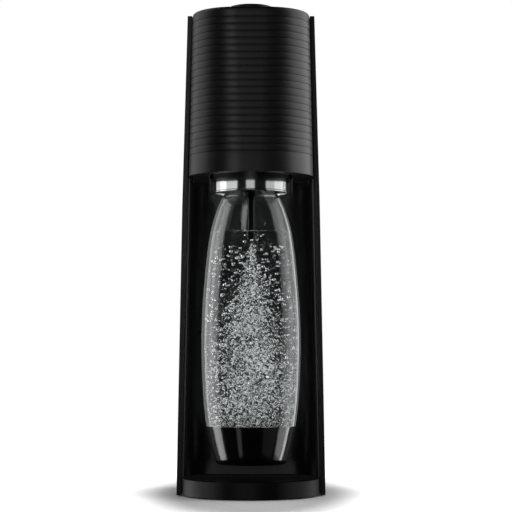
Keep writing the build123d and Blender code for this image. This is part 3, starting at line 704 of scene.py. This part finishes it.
class CARBONATOR_OT_bubbles(bpy.types.Operator):
    """Builds the jet of fine bubbles and the round bubbles beside it"""

    bl_idname = "carbonator.bubbles"
    bl_label = "Bubbles"
    bl_options = {"REGISTER", "UNDO"}

    def scatter(self, name, places, subdivisions, mat):
        """One piece of many small balls at the given (centre, radius, squash) places."""
        ball = bmesh.new()
        bmesh.ops.create_icosphere(ball, subdivisions=subdivisions, radius=1)
        shape = [vert.co.copy() for vert in ball.verts]
        data = bpy.data.meshes.new("ball")
        while len(ball.verts) < len(shape) * len(places):
            ball.to_mesh(data)
            ball.from_mesh(data)
        ball.verts.ensure_lookup_table()
        for i, (centre, radius, squash) in enumerate(places):
            for vert, point in zip(ball.verts[i * len(shape):(i + 1) * len(shape)], shape):
                vert.co = Vector(centre) + Vector((point.x, point.y, point.z * squash)) * radius
        bmesh.ops.delete(ball, geom=ball.verts[len(shape) * len(places):], context="VERTS")
        bpy.data.meshes.remove(data)
        finish_piece(name, ball, mat, "bottle", (), 180)

    def room_at(self, height, sizes):
        """Radius of the water at a height, from the bottle's own side."""
        side = wall_line(sizes.bottle_wall + sizes.water_gap, 2)
        for low, high in zip(side, side[1:]):
            if low[1] <= height <= high[1]:
                share = (height - low[1]) / (high[1] - low[1])
                return low[0] + (high[0] - low[0]) * share
        return side[0][0] * 0.93

    def execute(self, context):
        sizes = context.scene.carbonator_sizes
        draw = random.Random(7)
        tip = TUBE[0].z - 1.5 * MM
        foot = 45 * MM
        slab = 5
        rooms = {step: self.room_at(step * slab * MM, sizes) for step in range(8, 48)}
        fine = []
        while len(fine) < sizes.fine_bubbles:
            depth = draw.random() ** 0.5 * (tip - foot)
            # The jet opens like a cone below the tube, then more and more, and thins out away from its middle.
            share = depth / (90 * MM)
            cloud = (0.6 + 15 * min(share * 1.7, 1) + 26 * max(0, share - 0.6) ** 1.2) * MM
            away = cloud * math.sqrt(-2 * math.log(1 - draw.random())) * 0.62
            turn = draw.random() * FULL_TURN
            radius = (0.25 + 0.5 * draw.random() ** 2.5) * MM
            centre = Vector((away * math.cos(turn), BOTTLE_Y + away * math.sin(turn), tip - depth))
            if away < rooms[int(centre.z / (slab * MM))] - 2 * radius and self.crowded(centre, draw, 0.3):
                fine.append((centre, radius, 1.0))
        self.scatter("jet_bubbles", fine, 1, gas_bubble("fine_gas_bubbles", 0.6))
        coarse = []
        while len(coarse) < sizes.round_bubbles:
            depth = draw.random() ** 0.75
            height = sizes.water_top - 2 * MM - depth * (sizes.water_top - foot)
            radius = (0.45 + 1.0 * draw.random() ** 2.2) * MM
            room = rooms[int(height / (slab * MM))] - 1.6 * radius
            away = room * draw.random() ** 0.55
            turn = draw.random() * FULL_TURN
            centre = Vector((away * math.cos(turn), BOTTLE_Y + away * math.sin(turn), height))
            if self.crowded(centre, draw, 0.15):
                coarse.append((centre, radius, draw.uniform(0.75, 1.0)))
        self.scatter("rising_bubbles", coarse, 2, gas_bubble("round_gas_bubbles", 1.0))
        return {"FINISHED"}

    def crowded(self, centre, draw, spare):
        """Whether a bubble stays, so that bubbles gather in drifting swarms with clear water between."""
        swarm = noise.noise(centre / (11 * MM)) + 0.6 * noise.noise(centre / (4 * MM))
        return swarm > 0 or draw.random() < spare


class CARBONATOR_OT_mechanism(bpy.types.Operator):
    """Finishes the frame's own meshes: the mechanism, the gas parts, seals, pins and feet"""

    bl_idname = "carbonator.mechanism"
    bl_label = "Mechanism"
    bl_options = {"REGISTER", "UNDO"}

    def execute(self, context):
        colours = context.scene.carbonator_colours
        by_slot = {
            "black_shell_plastic": satin_abs(colours),
            "black_gloss_plastic": polished_abs(colours),
            "dark_structural_plastic": filled_nylon(colours),
            "brushed_ring_steel": ring_steel(colours),
            "plain_steel": turned_metal("drawn_steel", colours.steel, 0.32),
            "cylinder_aluminium": lacquered_aluminium(colours),
            "valve_brass": turned_metal("turned_brass", colours.brass, 0.28),
            "seal_rubber": nitrile_rubber(colours),
            "lock_lever_plastic": lever_plastic(colours),
        }
        for part in frame["record"]["subparts"]:
            node = frame["nodes"][part["node"]]
            mat = by_slot.get(part["material_slot"])
            if mat:
                node.data.materials.clear()
                node.data.materials.append(mat)
        return {"FINISHED"}


# What the bottle's lamps light, and what shows in mirror reflections besides that.
BOTTLE_PIECES = ("clear_bottle", "bottle_foot_cup", "water_fill", "jet_bubbles", "rising_bubbles", "dip_tube",
                 "steel_holder_ring")
SEEN_IN_MIRRORS = ("ribbed_head_cover", "head_floor_skin", "nozzle_body", "base_deck_skin")

# Groups of pieces for the lamps: the pieces, and whether a lamp lights them or leaves them out.
LIT_GROUPS = {
    "ring_only": (("steel_holder_ring",), "INCLUDE"),
    "bottle_and_ring": (BOTTLE_PIECES, "INCLUDE"),
    "all_but_bottle": (BOTTLE_PIECES + ("base_deck_skin",), "EXCLUDE"),
    "liner_only": (("bay_liner_skin",), "INCLUDE"),
    "upper_casing": (BOTTLE_PIECES + ("bay_liner_skin", "base_deck_skin"), "EXCLUDE"),
    "deck_only": (("base_deck_skin",), "INCLUDE"),
    "cup_only": (("bottle_foot_cup",), "INCLUDE"),
    "bubbles_only": (("jet_bubbles", "rising_bubbles"), "INCLUDE"),
}
# In these groups only the bottle and the ring cast a shadow, so that the tower's walls don't keep the light off.
SHADED_BY_BOTTLE_ONLY = ("ring_only", "bottle_and_ring", "cup_only", "bubbles_only", "deck_only")

TARGETS = {"head": Vector((0, -0.06, 0.3)), "bottle": Vector((0, BOTTLE_Y, 0.17)),
           "base": Vector((0, BOTTLE_Y, 0.04))}

# Name, target, azimuth (0 is the front and 90 the right) and elevation in degrees, distance, width and height in
# metres, brightness, and the group that the lamp lights.
SOFTBOXES = (
    ("left_softbox", "head", -112, 12, 1.0, (1.1, 2.4), 0.95, "upper_casing"),
    ("right_softbox", "head", 106, 18, 1.1, (1.5, 1.5), 1.9, "upper_casing"),
    ("front_left_panel", "head", -19, 9, 1.9, (0.6, 0.55), 2.6, "upper_casing"),
    ("bay_fill", "head", 0, 6, 1.9, (1.6, 1.0), 0.2, "all_but_bottle"),
    ("liner_front", "bottle", 0, 6, 1.9, (1.8, 0.8), 0.9, "liner_only"),
    ("deck_left", "base", -92, -14, 1.0, (1.4, 0.45), 0.75, "deck_only"),
    ("deck_left_end", "base", -128, 3, 1.0, (0.6, 0.6), 0.5, "deck_only"),
    ("deck_right", "base", 92, -14, 1.0, (1.4, 0.45), 0.5, "deck_only"),
    ("deck_right_end", "base", 128, 3, 1.0, (0.6, 0.6), 0.35, "deck_only"),
    ("deck_front", "base", -8, -8, 1.9, (1.2, 0.4), 0.5, "deck_only"),
    ("cup_left", "base", -101, 13, 0.7, (0.4, 1.2), 2.6, "cup_only"),
    ("cup_right", "base", 111, 14, 0.7, (0.17, 1.2), 4.0, "cup_only"),
    ("cup_right_soft", "base", 90, 14, 0.7, (0.34, 1.2), 1.6, "cup_only"),
    ("cup_right_inner", "base", 52, 8, 0.7, (0.5, 1.2), 0.12, "cup_only"),
    ("cup_front", "base", -33, -12, 1.2, (0.22, 1.0), 0.6, "cup_only"),
    ("bubbles_left", "bottle", -100, 5, 0.6, (0.5, 1.4), 3.2, "bubbles_only"),
    ("bubbles_right", "bottle", 100, 5, 0.6, (0.4, 1.4), 2.4, "bubbles_only"),
    ("rim_left", "bottle", -96, 5, 0.6, (0.27, 1.9), 1.3, "bottle_and_ring"),
    ("rim_left_soft", "bottle", -124, 5, 0.6, (0.31, 1.9), 0.14, "bottle_and_ring"),
    ("rim_left_back", "bottle", -158, 5, 0.6, (0.34, 1.9), 0.008, "bottle_and_ring"),
    ("rim_right", "bottle", 92, 5, 0.6, (0.3, 1.9), 0.55, "bottle_and_ring"),
    ("rim_right_bright", "bottle", 111, 5, 0.6, (0.1, 1.9), 0.8, "bottle_and_ring"),
    ("rim_right_soft", "bottle", 131, 5, 0.6, (0.28, 1.9), 0.12, "bottle_and_ring"),
    ("rim_right_back", "bottle", 160, 5, 0.6, (0.34, 1.9), 0.009, "bottle_and_ring"),
    ("shoulder_strip", "bottle", -22, 40, 1.2, (0.28, 0.5), 1.4, "bottle_and_ring"),
    ("ring_left", "bottle", -90, 12, 0.8, (1.6, 0.7), 1.1, "ring_only"),
    ("ring_right", "bottle", 92, 12, 0.8, (1.5, 0.7), 0.8, "ring_only"),
    ("ring_front", "bottle", -2, 12, 1.7, (0.75, 0.7), 0.8, "ring_only"),
)


class CARBONATOR_OT_stage(bpy.types.Operator):
    """Builds the floor, the lights and the camera"""

    bl_idname = "carbonator.stage"
    bl_label = "Stage"
    bl_options = {"REGISTER", "UNDO"}

    def execute(self, context):
        self.floor(context.scene.carbonator_colours)
        self.world()
        groups = {name: self.group(name, pieces, state) for name, (pieces, state) in LIT_GROUPS.items()}
        for name, target, azimuth, elevation, away, size, brightness, lit in SOFTBOXES:
            self.softbox(name, TARGETS[target], azimuth, elevation, away, size, brightness, groups[lit])
        self.clear_view_of_lamps()
        self.camera()
        context.scene.view_settings.view_transform = "Standard"
        return {"FINISHED"}

    def clear_view_of_lamps(self):
        """Keeps the tower's walls and what is inside them out of mirror reflections, so that the bottle and the
        ring are edged with light as if they were lit alone."""
        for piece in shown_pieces():
            if piece.name not in BOTTLE_PIECES + SEEN_IN_MIRRORS:
                piece.visible_glossy = False

    def group(self, name, pieces, state):
        """A collection that says which pieces a lamp lights, or leaves out."""
        lit = bpy.data.collections.new(name)
        for piece in pieces:
            lit.objects.link(bpy.data.objects[piece])
        for member in lit.collection_objects:
            member.light_linking.link_state = state
        return lit

    def floor(self, colours):
        """A large pale sheet under the machine."""
        work = bmesh.new()
        bmesh.ops.create_grid(work, x_segments=1, y_segments=1, size=12)
        data = bpy.data.meshes.new("floor")
        work.to_mesh(data)
        work.free()
        sheet = bpy.data.objects.new("floor", data)
        bpy.context.scene.collection.objects.link(sheet)
        data.materials.append(floor_with_painted_shadow(colours))
        sheet.visible_glossy = False
        sheet.visible_diffuse = False
        sheet.visible_transmission = False
        sheet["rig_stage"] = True

    def world(self):
        """A white surround that the camera sees, and a dim one for everything else."""
        world = bpy.data.worlds.new("studio")
        bpy.context.scene.world = world
        world.use_nodes = True
        tree = world.node_tree
        path = add_node(tree, "ShaderNodeLightPath")
        bright = add_node(tree, "ShaderNodeBackground", inputs={"Color": (1, 1, 1, 1), "Strength": 1.0})
        dim = add_node(tree, "ShaderNodeBackground", inputs={"Color": (1, 1, 1, 1), "Strength": 0.012})
        mix = add_node(tree, "ShaderNodeMixShader", inputs={"Fac": path.outputs["Is Camera Ray"]})
        tree.links.new(dim.outputs["Background"], mix.inputs[1])
        tree.links.new(bright.outputs["Background"], mix.inputs[2])
        tree.links.new(mix.outputs["Shader"], tree.nodes["World Output"].inputs["Surface"])

    def softbox(self, name, target, azimuth, elevation, away, size, brightness, lit):
        """A rectangular lamp that faces the target, as bright as a surface of that radiance."""
        turn, rise = math.radians(azimuth), math.radians(elevation)
        place = target + away * Vector((math.sin(turn) * math.cos(rise), -math.cos(turn) * math.cos(rise),
                                        math.sin(rise)))
        lamp = bpy.data.lights.new(name, "AREA")
        lamp.shape = "RECTANGLE"
        lamp.size, lamp.size_y = size
        lamp.energy = brightness * math.pi * size[0] * size[1]
        holder = bpy.data.objects.new(name, lamp)
        bpy.context.scene.collection.objects.link(holder)
        holder.location = place
        holder.rotation_euler = (target - place).to_track_quat("-Z", "Y").to_euler()
        holder.visible_camera = False
        holder.light_linking.receiver_collection = lit
        if lit.name in SHADED_BY_BOTTLE_ONLY:
            holder.light_linking.blocker_collection = bpy.data.collections["bottle_and_ring"]

    def camera(self):
        """A long lens, low in front of the machine, tilted slightly up."""
        lens = bpy.data.cameras.new("camera")
        lens.lens = 127.5
        lens.sensor_width = 36
        lens.clip_start = 0.01
        view = bpy.data.objects.new("camera", lens)
        bpy.context.scene.collection.objects.link(view)
        view.location = (0.0044, -1.6425, 0.1185)
        rise = 3.32
        view.rotation_euler = (math.radians(90 + rise), 0, 0)
        bpy.context.scene.camera = view


OPERATORS = (CARBONATOR_OT_mechanism, CARBONATOR_OT_casing, CARBONATOR_OT_head, CARBONATOR_OT_button,
             CARBONATOR_OT_holder, CARBONATOR_OT_bottle, CARBONATOR_OT_bubbles, CARBONATOR_OT_stage)


class CARBONATOR_PT_pieces(bpy.types.Panel):
    """Lists the pieces and their sizes and colours."""

    bl_label = "Carbonator"
    bl_space_type = "VIEW_3D"
    bl_region_type = "UI"
    bl_category = "Carbonator"

    def draw(self, context):
        for group in (context.scene.carbonator_sizes, context.scene.carbonator_colours):
            for name in group.__annotations__:
                self.layout.prop(group, name)
        for operator in OPERATORS:
            self.layout.operator(operator.bl_idname)


CLASSES = (CarbonatorSizes, CarbonatorColours, *OPERATORS, CARBONATOR_PT_pieces)


def register():
    for cls in CLASSES:
        bpy.utils.register_class(cls)
    bpy.types.Scene.carbonator_sizes = bpy.props.PointerProperty(type=CarbonatorSizes)
    bpy.types.Scene.carbonator_colours = bpy.props.PointerProperty(type=CarbonatorColours)


def unregister():
    del bpy.types.Scene.carbonator_colours
    del bpy.types.Scene.carbonator_sizes
    for cls in reversed(CLASSES):
        bpy.utils.unregister_class(cls)


def main():
    """Builds every piece in order."""
    register()
    for operator in OPERATORS:
        group, name = operator.bl_idname.split(".")
        getattr(getattr(bpy.ops, group), name)()


if __name__ == "__main__":
    main()
